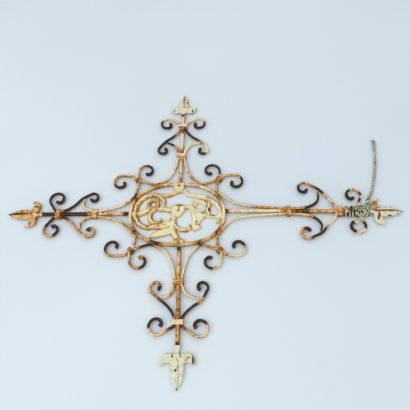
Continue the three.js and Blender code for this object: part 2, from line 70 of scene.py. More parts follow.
# The rope: a weathered twine of three plies, doubled. It is wound round the three bars and the neck
# of the foot and knotted at the side. Its free end lies on the ground, where one cord bends back
# beside the cut end of the other.
MIDDLE = 0.0083  # height of the middle lines of the ring and the bars
CORD = 0.0050  # thickness of each cord of the free end
WOUND = 0.0040  # thickness of the cord that is pulled tight round the foot
PLIES = 3
FOOT_LEAN = -0.8  # degrees
FOOT_ASIDE = 0.0075
foot_out = Vector((math.cos(math.radians(FOOT_LEAN)), math.sin(math.radians(FOOT_LEAN)), 0))
foot_left = Vector((-foot_out.y, foot_out.x, 0))


def at_foot(aside, along, up):
    """A place by the foot's bar: to its left, along it from the ring's middle, and above its middle."""
    return Vector((0, FOOT_ASIDE, MIDDLE)) + foot_left * aside + foot_out * along + Vector((0, 0, up))


def put(tree, kind, inputs=(), **settings):
    """A node in a tree, with its settings, and its inputs linked or set."""
    node = tree.nodes.new(kind)
    for key, value in settings.items():
        setattr(node, key, value)
    for key, value in dict(inputs).items():
        if isinstance(value, bpy.types.NodeSocket):
            tree.links.new(value, node.inputs[key])
        else:
            node.inputs[key].default_value = value
    return node


def number(tree, operation, *values):
    """What a Math node makes of sockets or numbers."""
    return put(tree, "ShaderNodeMath", dict(enumerate(values)), operation=operation).outputs[0]


def vectors(tree, operation, first, second):
    """What a Vector Math node makes of two vectors: a number from a dot product, or else a vector."""
    node = put(tree, "ShaderNodeVectorMath", {0: first, 1: second}, operation=operation)
    return node.outputs["Value" if operation == "DOT_PRODUCT" else "Vector"]


def scaled(tree, vector, size):
    """A vector times a number."""
    node = put(tree, "ShaderNodeVectorMath", {0: vector, "Scale": size}, operation="SCALE")
    return node.outputs["Vector"]


def add_input(tree, label, kind, start):
    """A named input of a tree, with the value that it starts at."""
    tree.interface.new_socket(label, in_out="INPUT", socket_type=kind).default_value = start


def shape_tree(name, sizes):
    """A geometry tree that takes a path, named sizes and a material."""
    tree = bpy.data.node_groups.new(name, "GeometryNodeTree")
    tree.interface.new_socket("Geometry", in_out="INPUT", socket_type="NodeSocketGeometry")
    for label, start in sizes.items():
        add_input(tree, label, "NodeSocketFloat", start)
    tree.interface.new_socket("Material", in_out="INPUT", socket_type="NodeSocketMaterial")
    tree.interface.new_socket("Geometry", in_out="OUTPUT", socket_type="NodeSocketGeometry")
    return tree, tree.nodes.new("NodeGroupInput").outputs


def even_curve(tree, given):
    """The given path as a smooth curve with even steps."""
    line = put(tree, "GeometryNodeMeshToCurve", {"Mesh": given["Geometry"]}).outputs[0]
    line = put(tree, "GeometryNodeCurveSplineType", {"Curve": line},
               spline_type="CATMULL_ROM").outputs[0]
    return put(tree, "GeometryNodeResampleCurve", {"Curve": line, "Length": given["Step"]},
               mode="LENGTH").outputs[0]


def roughened(tree, given, skin, scale, detail, middle, amount):
    """A skin pushed out where noise is above its middle, and in where it is below."""
    push = put(tree, "ShaderNodeTexNoise", {"W": given["Seed"], "Scale": scale, "Detail": detail},
               noise_dimensions="4D").outputs[0]
    push = number(tree, "MULTIPLY", number(tree, "SUBTRACT", push, middle), amount)
    push = scaled(tree, put(tree, "GeometryNodeInputNormal").outputs[0], push)
    return put(tree, "GeometryNodeSetPosition", {"Geometry": skin, "Offset": push}).outputs[0]


def kept_value(tree, geometry, name, value, kind):
    """A geometry whose points keep a value under a name."""
    return put(tree, "GeometryNodeStoreNamedAttribute",
               {"Geometry": geometry, "Name": name, "Value": value},
               data_type=kind, domain="POINT").outputs[0]


def finish_tree(tree, given, geometry):
    """The end of each tree: smooth, real and with its material."""
    smooth = put(tree, "GeometryNodeSetShadeSmooth", {"Geometry": geometry})
    real = put(tree, "GeometryNodeRealizeInstances", {"Geometry": smooth.outputs[0]})
    finished = put(tree, "GeometryNodeSetMaterial",
                   {"Geometry": real.outputs[0], "Material": given["Material"]})
    out = tree.nodes.new("NodeGroupOutput")
    tree.links.new(finished.outputs[0], out.inputs["Geometry"])


def made_real(item):
    """The plain mesh that an object's modifiers make. The object itself is dropped."""
    graph = bpy.context.evaluated_depsgraph_get()
    mesh = bpy.data.meshes.new_from_object(
        item.evaluated_get(graph), preserve_all_data_layers=True, depsgraph=graph)
    bpy.data.objects.remove(item)
    return mesh


def make_from_path(name, paths, tree, sizes, material, closed=False, **values):
    """A plain mesh made by a tree along paths, whose points may carry named values."""
    mesh = bpy.data.meshes.new(name)
    points, edges = [], []
    for path in paths:
        first = len(points)
        points += [tuple(p) for p in path]
        edges += [(i, i + 1) for i in range(first, len(points) - 1)]
        if closed:
            edges.append((len(points) - 1, first))
    mesh.from_pydata(points, edges, [])
    for key, numbers in values.items():
        if isinstance(numbers[0], Vector):
            flat = [n for vector in numbers for n in vector]
            mesh.attributes.new(key, "FLOAT_VECTOR", "POINT").data.foreach_set("vector", flat)
        else:
            mesh.attributes.new(key, "FLOAT", "POINT").data.foreach_set("value", numbers)
    guide = placed(name + "_guide", mesh)
    modifier = guide.modifiers.new(tree.name, "NODES")
    modifier.node_group = tree
    given = {**sizes, "Material": material}
    for item in tree.interface.items_tree:
        if item.in_out == "INPUT" and item.name in given:
            modifier[item.identifier] = given[item.name]
    made = made_real(guide)
    made.name = name
    bpy.data.meshes.remove(mesh)
    return placed(name, made)


laid, given = shape_tree("laid_cord", {
    "Thickness": CORD, "Lay": 0.016, "Step": 0.0012, "Fuzz": 0.0004, "Seed": 1.0})
line = even_curve(laid, given)
run = put(laid, "GeometryNodeSplineParameter").outputs["Length"]
turns = number(laid, "DIVIDE", run, given["Lay"])
tangent = put(laid, "GeometryNodeInputTangent").outputs[0]
normal = put(laid, "GeometryNodeInputNormal").outputs[0]
sideways = vectors(laid, "CROSS_PRODUCT", tangent, normal)
quarter = number(laid, "MULTIPLY", given["Thickness"], 0.25)
ply_round = put(laid, "GeometryNodeCurvePrimitiveCircle", {"Resolution": 7, "Radius": quarter},
                mode="RADIUS").outputs[0]
plies = put(laid, "GeometryNodeJoinGeometry")
for ply in range(PLIES):
    angle = number(laid, "MULTIPLY", number(laid, "ADD", turns, ply / PLIES), 2 * math.pi)
    out = vectors(laid, "ADD", scaled(laid, normal, number(laid, "COSINE", angle)),
                  scaled(laid, sideways, number(laid, "SINE", angle)))
    moved = put(laid, "GeometryNodeSetPosition",
                {"Geometry": line, "Offset": scaled(laid, out, quarter)}).outputs[0]
    moved = kept_value(laid, moved, "ply_outward", out, "FLOAT_VECTOR")
    tube = put(laid, "GeometryNodeCurveToMesh",
               {"Curve": moved, "Profile Curve": ply_round, "Fill Caps": True})
    laid.links.new(tube.outputs[0], plies.inputs[0])
worn = roughened(laid, given, plies.outputs[0], 900.0, 2.0, 0.5, given["Fuzz"])
skin = put(laid, "GeometryNodeInputNormal").outputs[0]
# How far each point faces out of its cord and out of its ply, kept for the painted shade in the grooves
# between them.
facing = []
for direction in ("outward", "ply_outward"):
    way = put(laid, "GeometryNodeInputNamedAttribute", {"Name": direction}, data_type="FLOAT_VECTOR")
    facing.append(vectors(laid, "DOT_PRODUCT", skin, way.outputs[0]))
groove_shade = number(laid, "ADD", facing[0], number(laid, "MULTIPLY", facing[1], 0.5))
worn = kept_value(laid, worn, "groove_shade", number(laid, "SUBTRACT", 1.0, groove_shade), "FLOAT")
finish_tree(laid, given, worn)


def colour(red, green, blue):
    """A paint or rust colour as the eye sees it, made linear for the renderer."""
    return tuple(c / 12.92 if c <= 0.04045 else ((c + 0.055) / 1.055) ** 2.4
                 for c in (red, green, blue)) + (1.0,)


def ramp(tree, factor, stops):
    """Colours that follow a factor, from stops of place and colour."""
    node = put(tree, "ShaderNodeValToRGB", {0: factor})
    elements = node.color_ramp.elements
    while len(elements) < len(stops):
        elements.new(0.5)
    for element, (place, shade) in zip(elements, stops):
        element.position, element.color = place, shade
    return node.outputs[0]


def blend_colours(tree, factor, first, second):
    """One colour over another."""
    node = put(tree, "ShaderNodeMix", data_type="RGBA")
    for socket, value in (("Factor_Float", factor), ("A_Color", first), ("B_Color", second)):
        target = next(s for s in node.inputs if s.identifier == socket)
        if isinstance(value, bpy.types.NodeSocket):
            tree.links.new(value, target)
        else:
            target.default_value = value
    return next(s for s in node.outputs if s.identifier == "Result_Color")


def step_between(tree, value, low, high):
    """0 below low and 1 above high, smoothly."""
    return put(tree, "ShaderNodeMapRange", {"Value": value, "From Min": low, "From Max": high},
               interpolation_type="SMOOTHSTEP").outputs[0]


def sum_of(tree, *terms):
    """The sum of sockets or numbers, each with its weight."""
    total = None
    for value, weight in terms:
        part = number(tree, "MULTIPLY", value, weight)
        total = part if total is None else number(tree, "ADD", total, part)
    return total


def noise_at(tree, place, scale, detail, roughness=0.5):
    """Cloudy noise at a place, finer with a larger scale."""
    return put(tree, "ShaderNodeTexNoise", {
        "Vector": place, "Scale": scale, "Detail": detail, "Roughness": roughness}).outputs[0]


def new_material(name):
    """A material, its nodes and its shader."""
    material = bpy.data.materials.new(name)
    material.use_nodes = True
    return material, material.node_tree, material.node_tree.nodes["Principled BSDF"]


def weathered_twine(name, shade_start, soaked, deep):
    """Twine weathered grey, as rust-soaked as it is told, with painted shade, a dark brown, in the
    grooves between its plies and cords.
    """
    material, tree, shader = new_material(name)
    place = put(tree, "ShaderNodeTexCoord").outputs["Object"]
    fibre = noise_at(tree, place, 1400.0, 4.0)
    stain = noise_at(tree, place, 70.0, 4.0)
    strand = ramp(tree, sum_of(tree, (fibre, 0.4), (stain, 0.6)), [
        (0.36, colour(0.64, 0.65, 0.54)), (0.46, colour(0.80, 0.82, 0.71)),
        (0.54, colour(0.90, 0.92, 0.82)), (0.66, colour(0.97, 0.97, 0.88))])
    patch = noise_at(tree, place, 160.0, 3.0)
    rust = step_between(tree, number(tree, "ADD", patch, soaked), 0.55, 0.85)
    strand = blend_colours(tree, rust, strand, colour(0.62, 0.45, 0.20))
    # Painted shade: darker where a point faces into a groove, patchy with the stain.
    groove_shade = put(tree, "ShaderNodeAttribute", attribute_name="groove_shade").outputs["Fac"]
    painted_shade = sum_of(tree, (groove_shade, 1.0), (stain, -0.8), (0.4, 1.0))
    painted_shade = number(tree, "MULTIPLY", step_between(tree, painted_shade, shade_start, 1.05), 0.92)
    tree.links.new(blend_colours(tree, painted_shade, strand, deep), shader.inputs["Base Color"])
    shader.inputs["Roughness"].default_value = 0.95
    bump = put(tree, "ShaderNodeBump", {"Height": fibre, "Strength": 0.6, "Distance": 0.0004})
    tree.links.new(bump.outputs[0], shader.inputs["Normal"])
    return material


# The last colour of each twine is the painted shade in its grooves.
free_twine = weathered_twine("weathered_twine", 0.38, 0.0, colour(0.30, 0.26, 0.15))
rusty_twine = weathered_twine("rusty_twine", 0.30, 0.12, colour(0.25, 0.19, 0.08))


def through(points, step):
    """Evenly spaced points on a smooth line through a few."""
    ends = [points[0] * 2 - points[1], *points, points[-1] * 2 - points[-2]]
    fine = []
    for a, b, c, d in zip(ends, ends[1:], ends[2:], ends[3:]):
        count = max(2, int((c - b).length / step))
        for i in range(count):
            t = i / count
            fine.append(0.5 * (2 * b + (c - a) * t + (2 * a - 5 * b + 4 * c - d) * t * t
                               + (3 * b - a - 3 * c + d) * t ** 3))
    return fine + [points[-1]]


free_route = [Vector(p) for p in (
    (0.4755, 0.026, 0.0056), (0.480, 0.0375, 0.0051), (0.4865, 0.049, 0.005), (0.493, 0.060, 0.005),
    (0.4985, 0.072, 0.005), (0.5024, 0.083, 0.005), (0.5062, 0.0945, 0.005), (0.5098, 0.106, 0.005),
    (0.5136, 0.120, 0.005), (0.517, 0.1345, 0.005), (0.5201, 0.149, 0.005), (0.5225, 0.1615, 0.005),
    (0.5247, 0.174, 0.005), (0.5265, 0.186, 0.005), (0.528, 0.198, 0.005), (0.5291, 0.209, 0.005),
    (0.5297, 0.219, 0.005), (0.530, 0.2275, 0.005))]
TWIST = 0.019  # length of a turn of the two cords about each other
APART = 0.46  # from the centre line to a cord's middle, in cord thicknesses
LOOP_START = 0.202  # Y at which the cords part
cords, outward = [[], []], [[], []]
walked = 0.0
twisted_line = through(free_route, 0.0017)
last = len(twisted_line) - 1
for i, point in enumerate(twisted_line):
    walked += (point - twisted_line[i - 1]).length if i else 0.0
    ahead = (twisted_line[min(i + 1, last)] - twisted_line[max(i - 1, 0)]).normalized()
    beside = Vector((-ahead.y, ahead.x, 0))
    if point.y < LOOP_START:
        for which in range(2):
            angle = 2 * math.pi * walked / TWIST + math.pi * which
            way = beside * math.cos(angle) + Vector((0, 0, math.sin(angle)))
            cords[which].append(point + way * CORD * APART)
            outward[which].append(way)
loop_ends = [
    [(0.5320, 0.208, 0.0046), (0.5338, 0.2145, 0.0034), (0.5349, 0.2215, 0.0032),
     (0.5341, 0.2272, 0.0036), (0.5312, 0.2298, 0.0048), (0.5279, 0.2278, 0.0060),
     (0.5255, 0.2252, 0.0064)],
    [(0.5272, 0.208, 0.0036), (0.5282, 0.2145, 0.0028), (0.5297, 0.2205, 0.0027),
     (0.5305, 0.2245, 0.0027)]]
if cords[0][-1].x < cords[1][-1].x:
    loop_ends.reverse()
for which, points in enumerate(loop_ends):
    cords[which] += [Vector(p) for p in points]
    outward[which] += [Vector((0, 0, 1))] * len(points)
free_end = make_from_path("rope_free_end", cords, laid, {"Lay": 0.011, "Seed": 3.0},
                          free_twine, outward=outward[0] + outward[1])
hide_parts("rope_tail")
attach(free_end, "root")

TURN_POINTS = 16  # points on each turn of the windings
BELOW = 0.0064  # how far the windings reach below the bars' middle


def wound(half_width, above, start, end, count, first, lean):
    """Turns of cord round the bars, as one coil that leans."""
    steps = int(count * TURN_POINTS)
    path = []
    for i in range(steps + 1):
        a = math.radians(first) + 2 * math.pi * count * i / steps
        square = [math.copysign(abs(v) ** 0.6, v) for v in (math.cos(a), math.sin(a))]
        along = start + (end - start) * i / steps + lean * half_width * square[0]
        up = square[1] * (above if square[1] > 0 else BELOW)
        path.append(at_foot(half_width * square[0], along, up))
    return path


def strands_over(ends, height):
    """Strands that cross from the turns on the bars to those on the neck."""
    return [[at_foot(a, start, height - 0.002),
             at_foot(a * 0.7 + b * 0.3, start * 0.7 + end * 0.3, height),
             at_foot(a * 0.35 + b * 0.65, start * 0.35 + end * 0.65, height + 0.0006),
             at_foot(b, end, height - 0.0012)] for a, start, b, end in ends]


first_turn = wound(0.0136, 0.0066, 0.4160, 0.4200, 1.1, 70, 0.12)
bar_turns = wound(0.0128, 0.0066, 0.4270, 0.4440, 2.25, 100, 0.25)
over_turns = wound(0.0142, 0.0092, 0.4480, 0.4350, 1.5, 70, -0.60)
neck_turns = wound(0.0104, 0.0068, 0.4570, 0.4745, 2.5, 80, -0.34)
collar_turns = wound(0.0118, 0.0094, 0.4735, 0.4620, 1.5, 120, 0.50)
crossing = strands_over([(0.0120, 0.4400, -0.0080, 0.4650), (-0.0115, 0.4375, 0.0075, 0.4630)], 0.0094)
loose = strands_over([(-0.0130, 0.4430, -0.0095, 0.4610), (0.0138, 0.4460, 0.0105, 0.4640)], 0.0060)
knot_middle = at_foot(0.0165, 0.4713, 0)
knot_turns = []
for tip_over, twist in ((90, 20), (90, 110), (8, 0), (65, 60)):
    turned = (Matrix.Rotation(math.radians(twist), 3, "Z")
              @ Matrix.Rotation(math.radians(tip_over), 3, "X"))
    loop = [(0.0042 * math.cos(a), 0.0038 * math.sin(a), 0.0007 * math.sin(2 * a))
            for a in (2 * math.pi * i / 11 for i in range(12))]
    knot_turns.append([knot_middle + turned @ Vector(p) for p in loop])
wound_paths = [first_turn, bar_turns, over_turns, neck_turns, collar_turns,
               *crossing, *loose, *knot_turns]
away = []
for path in wound_paths:
    for p in path:
        along = (p - at_foot(0, 0, 0)).dot(foot_out)
        middle = knot_middle if path in knot_turns else at_foot(0, along, 0)
        away.append((p - middle).normalized())
windings = make_from_path("rope_windings", wound_paths, laid,
                          {"Thickness": WOUND, "Lay": 0.009, "Seed": 7.0, "Fuzz": 0.0003},
                          rusty_twine, outward=away)
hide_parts("rope_binding")
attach(windings, "root")

# The oval ring: one square bar bent round and welded, its edges worn soft. Cream paint is left in
# patches on orange rust, and the rust is darkest where the brackets touch it.
RING_STOCK = {"Width": 0.008, "Depth": 0.008, "Rounding": 0.002, "Hammer marks": 0.0007}
SHADED_SIDE = (0.62, 0.78, 0.0)  # the way that the sides with painted shade face, away from the window
rusty = bpy.data.node_groups.new("paint_over_rust", "ShaderNodeTree")
for label, start in (("Loss", 0.5), ("Bare", 0.0), ("Grain", 1.0), ("Shift", 0.0)):
    add_input(rusty, label, "NodeSocketFloat", start)
for label, start in (("Paint", colour(0.95, 0.91, 0.79)), ("Old paint", colour(0.93, 0.87, 0.70)),
                     ("Rust", colour(0.88, 0.62, 0.28)), ("Deep rust", colour(0.50, 0.29, 0.10))):
    add_input(rusty, label, "NodeSocketColor", start)
for label, kind in (("Color", "Color"), ("Roughness", "Float"), ("Height", "Float")):
    rusty.interface.new_socket(label, in_out="OUTPUT", socket_type="NodeSocket" + kind)
asked = rusty.nodes.new("NodeGroupInput").outputs
where = put(rusty, "ShaderNodeTexCoord").outputs
place = vectors(rusty, "ADD", where["Object"], asked["Shift"])
place = scaled(rusty, place, asked["Grain"])
broad = noise_at(rusty, place, 21.0, 2.0)
patches = noise_at(rusty, place, 130.0, 5.0, 0.6)
flecks = noise_at(rusty, place, 480.0, 4.0, 0.65)
pits = put(rusty, "ShaderNodeTexVoronoi", {"Vector": place, "Scale": 700.0}).outputs["Distance"]
upward = put(rusty, "ShaderNodeSeparateXYZ", {0: where["Normal"]}).outputs["Z"]
# Faces that turn away from straight up get more rust and slightly darker rust: wear on the edges, with
# painted shade on the sides.
side = step_between(rusty, upward, 0.75, 0.15)
# Painted shade: the sides facing away from the window get more rust, darker rust, more bare iron and
# fewer pale flecks.
lee_shade = vectors(rusty, "DOT_PRODUCT", where["Normal"], SHADED_SIDE)
lee_shade = step_between(rusty, lee_shade, 0.10, 0.65)
wear = sum_of(rusty, (patches, -2.0), (flecks, -1.1), (broad, -1.2), (asked["Loss"], 1.0),
              (side, 0.15), (lee_shade, 0.40), (1.65, 1.0))
scrape = sum_of(rusty, (asked["Bare"], 1.0), (patches, 1.4), (flecks, 0.8), (lee_shade, 0.12),
                (-1.1, 1.0))
rusted = number(rusty, "MAXIMUM", step_between(rusty, wear, -0.09, 0.10),
                step_between(rusty, scrape, 0.04, 0.20))
stained = step_between(rusty, wear, -0.42, 0.02)
scraped = step_between(rusty, scrape, 0.22, 0.42)
old = step_between(rusty, broad, 0.40, 0.62)
paint = blend_colours(rusty, old, asked["Paint"], asked["Old paint"])
paint = blend_colours(rusty, number(rusty, "MULTIPLY", stained, 0.62), paint, asked["Rust"])
depth = sum_of(rusty, (flecks, 0.6), (patches, 0.4), (lee_shade, -0.14), (side, -0.03), (wear, -0.04))
deep = step_between(rusty, depth, 0.51, 0.41)
rust = blend_colours(rusty, deep, asked["Rust"], asked["Deep rust"])
light = number(rusty, "MULTIPLY", step_between(rusty, depth, 0.50, 0.58), 0.7)
rust = blend_colours(rusty, light, rust, asked["Old paint"])
iron = ramp(rusty, flecks, [(0.36, colour(0.14, 0.10, 0.08)), (0.53, colour(0.24, 0.165, 0.12)),
                            (0.62, colour(0.42, 0.28, 0.16)), (0.72, colour(0.72, 0.48, 0.24))])
shown = blend_colours(rusty, rusted, paint, rust)
shown = blend_colours(rusty, scraped, shown, iron)
rough = sum_of(rusty, (rusted, 0.28), (0.62, 1.0), (scraped, -0.12))
height = sum_of(rusty, (rusted, -0.5), (flecks, 0.5), (pits, 0.25), (scraped, -0.3))
result = rusty.nodes.new("NodeGroupOutput")
for label, socket in (("Color", shown), ("Roughness", rough), ("Height", height)):
    rusty.links.new(socket, result.inputs[label])


def weathered(name, loss=0.5, grain=1.0, shift=0.0, relief=0.0006, **paints):
    """Iron with what is left of its paint, and painted shade on the sides that face away from the
    window. The points' own values, rust and dark, add to the wear.
    """
    material, tree, shader = new_material(name)
    extra, scraped = (put(tree, "ShaderNodeAttribute", attribute_name=key).outputs["Fac"]
                      for key in ("rust", "dark"))
    asked = {"Loss": number(tree, "ADD", extra, loss), "Bare": scraped, "Grain": grain,
             "Shift": shift}
    asked.update({key.replace("_", " ").capitalize(): paint for key, paint in paints.items()})
    effect = put(tree, "ShaderNodeGroup", asked, node_tree=rusty)
    tree.links.new(effect.outputs["Color"], shader.inputs["Base Color"])
    tree.links.new(effect.outputs["Roughness"], shader.inputs["Roughness"])
    shader.inputs["Specular IOR Level"].default_value = 0.3
    bump = put(tree, "ShaderNodeBump",
               {"Height": effect.outputs["Height"], "Strength": 0.7, "Distance": relief})
    tree.links.new(bump.outputs[0], shader.inputs["Normal"])
    return material


forged, given = shape_tree("forged_bar", {
    "Width": 0.0055, "Depth": 0.006, "Rounding": 0.0015, "Step": 0.002, "Hammer marks": 0.0006,
    "Seed": 0.0})
line = even_curve(forged, given)
line = put(forged, "GeometryNodeSetCurveNormal", {"Curve": line}, mode="Z_UP").outputs[0]
thick = put(forged, "GeometryNodeInputNamedAttribute", {"Name": "thick"}, data_type="FLOAT")
stock = put(forged, "GeometryNodeCurvePrimitiveQuadrilateral",
            {"Width": given["Width"], "Height": given["Depth"]}, mode="RECTANGLE")
stock = put(forged, "GeometryNodeFilletCurve",
            {"Curve": stock.outputs[0], "Count": 3, "Radius": given["Rounding"]}, mode="POLY")
bar = put(forged, "GeometryNodeCurveToMesh", {
    "Curve": line, "Profile Curve": stock.outputs[0], "Scale": thick.outputs[0], "Fill Caps": True})
bar = roughened(forged, given, bar.outputs[0], 110.0, 3.0, 0.55, given["Hammer marks"])
finish_tree(forged, given, bar)


def merged(node):
    """A copy of a solid's mesh with its loose triangles joined up."""
    mesh = bmesh.new()
    mesh.from_mesh(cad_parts[node].data)
    bmesh.ops.remove_doubles(mesh, verts=mesh.verts, dist=1e-6)
    return mesh


def rims(mesh):
    """The closed loops round the flat underside of a bar, each in order."""
    low = min(v.co.z for v in mesh.verts)
    beside = {}
    for edge in mesh.edges:
        a, b = edge.verts
        flat = max(a.co.z, b.co.z) < low + 1e-4
        if flat and any(abs(f.normal.z) < 0.5 for f in edge.link_faces):
            beside.setdefault(a, []).append(b)
            beside.setdefault(b, []).append(a)
    loops = []
    while beside:
        loop = [next(iter(beside))]
        while (more := [v for v in beside.pop(loop[-1]) if v in beside]):
            loop.append(more[0])
        loops.append([v.co.copy() for v in loop])
    return sorted(loops, key=lambda loop: max(p.length for p in loop))


def spotted(x, y, spots):
    """Rust and dark at a place, from spots of place, half-lengths and strengths."""
    rust = dark = 0.0
    for spot_x, spot_y, long, wide, more_rust, more_dark in spots:
        near = math.exp(-((x - spot_x) / long) ** 2 - ((y - spot_y) / wide) ** 2)
        rust, dark = rust + more_rust * near, dark + more_dark * near
    return rust, dark


ring = merged("oval_ring")
inner, outer = rims(ring)
ring.free()
ring_line = []
for p in outer:
    facing_point = min(inner, key=lambda q: (q - p).length)
    ring_line.append((facing_point + p) / 2 + Vector((0, 0, MIDDLE - p.z)))
ring_iron = weathered("ring_iron", loss=0.42, shift=0.3,
                      rust=colour(0.95, 0.73, 0.38), deep_rust=colour(0.58, 0.34, 0.11))
ring_spots = [
    (-0.056, 0.083, 0.014, 0.012, 0.4, 0.38), (-0.107, 0.047, 0.009, 0.018, 0.5, 0.40),
    (-0.100, -0.052, 0.016, 0.020, 0.5, 0.42), (-0.050, -0.083, 0.026, 0.012, 0.5, 0.44),
    (0.006, -0.088, 0.008, 0.010, 0.4, 0.36), (0.055, -0.080, 0.018, 0.012, 0.5, 0.38),
    (0.098, -0.050, 0.016, 0.020, 0.5, 0.40), (0.104, 0.046, 0.012, 0.018, 0.5, 0.38),
    (0.112, 0.000, 0.014, 0.020, -0.35, 0.0), (0.0, 0.09, 0.030, 0.010, -0.2, 0.0),
    (-0.113, 0.012, 0.010, 0.016, -0.1, 0.0)]
ring_wear = [spotted(p.x, p.y, ring_spots) for p in ring_line]
ring_piece = make_from_path(
    "ring", [ring_line], forged, {**RING_STOCK, "Seed": 2.0}, ring_iron, closed=True,
    thick=[1.0] * len(ring_line), rust=[w[0] for w in ring_wear], dark=[w[1] for w in ring_wear])
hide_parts("oval_ring")
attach(ring_piece, "root")

# Main bars: four straight lengths of square bar, from the ring to the finials. The foot's and the
# left arm's are the rustiest, and the head's is scraped to dark iron near its end.
MAIN_STOCK = {"Width": 0.009, "Depth": 0.008, "Rounding": 0.0022, "Hammer marks": 0.0008}
BAR_STEPS = 24  # lengths that a straight bar is cut into, so that its wear can vary


def bar_line(node):
    """A bar's middle line and half-widths, from its end nearest the ring's middle to the other."""
    mesh = merged(node)
    spots = rims(mesh)[-1]
    low, high = spots[0].z, max(v.co.z for v in mesh.verts)
    mesh.free()
    count = len(spots)

    def pairs_from(start):
        return [(spots[(start + 1 + i) % count], spots[(start - i) % count])
                for i in range(count // 2)]

    pairs = min((pairs_from(start) for start in range(count)),
                key=lambda pairs: sum((a - b).length for a, b in pairs))
    if pairs[0][0].length > pairs[-1][0].length:
        pairs.reverse()
    rise = Vector((0, 0, (high - low) / 2))
    return [(a + b) / 2 + rise for a, b in pairs], [(a - b).length / 2 for a, b in pairs]


def worn_share(share, lengths, edge=0.02):
    """How worn a bar is at a share of its length, from the lengths that are."""
    worn = 0.0
    for begin, finish, amount in lengths:
        inside = min((share - begin) / edge, (finish - share) / edge)
        worn += amount * min(1.0, max(0.0, 0.5 + inside))
    return worn


def forge(name, node, stock, material, bare, rust, seed, swell=()):
    """A bar forged along a solid's line, with its worn and swollen lengths, in the solid's place."""
    points, halves = bar_line(node)
    if len(points) == 2:
        points = [points[0].lerp(points[1], i / BAR_STEPS) for i in range(BAR_STEPS + 1)]
        halves = [halves[0]] * (BAR_STEPS + 1)
    walked = [0.0]
    for a, b in zip(points, points[1:]):
        walked.append(walked[-1] + (b - a).length)
    shares = [w / walked[-1] for w in walked]
    piece = make_from_path(
        name, [points], forged, {**stock, "Seed": seed}, material,
        thick=[2 * h / stock["Width"] * (1 + worn_share(s, swell, 0.1))
               for s, h in zip(shares, halves)],
        dark=[worn_share(s, bare) for s in shares], rust=[worn_share(s, rust) for s in shares])
    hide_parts(node)
    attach(piece, "root")
    return piece


# Each bar's bare lengths, then its rusty ones, or painted where the amount is below 0.
main_wear = {
    "head": ([(-0.05, 0.06, 0.55), (0.46, 0.80, 0.5), (0.86, 1.0, 0.75)],
             [(0.0, 0.36, -0.15), (0.36, 1.0, 0.2)]),
    "right_arm": ([(0.0, 0.05, 0.35), (0.34, 0.37, 0.25), (0.41, 0.48, 0.30), (0.73, 0.83, 0.36)],
                  [(0.0, 0.36, -0.1), (0.36, 0.48, 0.3), (0.50, 0.72, -0.35), (0.87, 1.0, -0.1)]),
    "left_arm": ([(0.0, 0.06, 0.5), (0.38, 0.60, 0.18), (0.64, 0.80, 0.26), (0.83, 0.97, 0.12),
                  (0.975, 1.05, 0.7)], [(0.36, 1.0, 0.15)]),
    "foot": ([(0.46, 0.60, 0.4), (0.88, 1.05, 1.0), (-0.05, 0.035, 0.55)],
             [(0.0, 0.38, -0.45), (0.44, 1.0, 0.1)]),
}
bar_iron = weathered("bar_iron", loss=0.55, shift=1.7, rust=colour(0.90, 0.63, 0.28))
for arm, (bare, rust) in main_wear.items():
    forge("bar_" + arm, "main_bar_" + arm, MAIN_STOCK, bar_iron, bare, rust,
          seed=len(arm))

# S-scrolls: eight lengths of thinner bar, curled at both ends and clasped to the main bars by the
# outer collars. Most of their paint is gone from the curls and the diagonals.
THIN_STOCK = {"Width": 0.0055, "Depth": 0.006, "Rounding": 0.0018, "Hammer marks": 0.0007}
scroll_swell = [(-0.2, 0.06, 0.28), (0.06, 0.94, 0.10), (0.94, 1.2, 0.28)]
scroll_wear_and_highlight = {
    "head_left": ([(0.0, 0.05, 0.5), (0.42, 0.52, 0.4), (0.57, 0.69, 0.9), (0.86, 1.0, 0.9)],
                  [(0.2, 0.52, 0.25), (0.69, 0.86, 0.3)]),
    # On head_right, the less bare stretch from 0.68 to 0.74 is a painted highlight on the dark curl.
    "head_right": ([(0.0, 0.50, 0.75), (0.56, 0.68, 0.9), (0.68, 0.74, 0.4), (0.74, 1.0, 0.95)],
                   [(0.0, 1.0, 0.3)]),
    "right_arm_upper": ([(0.0, 0.38, 0.85), (0.80, 1.0, 0.9)],
                        [(0.36, 0.52, 0.35), (0.56, 0.79, -0.2)]),
    "right_arm_lower": ([(0.0, 0.11, 0.9), (0.29, 0.52, 0.95), (0.81, 1.0, 0.95)],
                        [(0.12, 0.24, -0.3), (0.24, 0.3, 0.3), (0.56, 0.80, -0.3)]),
    "left_arm_upper": ([(0.0, 0.04, 0.6), (0.28, 0.50, 0.9), (0.55, 0.63, 0.9), (0.81, 1.0, 0.95)],
                       [(0.05, 0.28, 0.2)]),
    "left_arm_lower": ([(0.0, 0.23, 0.95), (0.30, 0.50, 0.9), (0.545, 0.60, 0.5),
                        (0.86, 1.0, 0.95)], [(0.23, 0.3, 0.2), (0.68, 0.88, -0.1)]),
    "foot_right": ([(0.0, 0.11, 0.9), (0.26, 0.31, 0.6), (0.695, 0.73, 0.75), (0.775, 0.80, 0.7),
                    (0.885, 1.0, 0.95), (0.54, 0.64, 0.7)],
                   [(0.06, 0.3, 0.1), (0.31, 0.5, -0.1), (0.58, 0.89, -0.2)]),
    "foot_left": ([(0.0, 0.06, 0.6), (0.20, 0.30, 0.9), (0.54, 0.66, 0.7), (0.73, 0.79, 0.9),
                   (0.88, 0.965, 0.95)], [(0.06, 0.36, 0.25), (0.37, 0.5, -0.25), (0.79, 0.9, -0.2)]),
}
scroll_iron = weathered("scroll_iron", loss=0.40, shift=3.1)
for seed, (where, (bare, rust)) in enumerate(scroll_wear_and_highlight.items()):
    forge("s_" + where, "s_scroll_" + where, THIN_STOCK, scroll_iron, bare, rust,
          seed=seed, swell=scroll_swell)

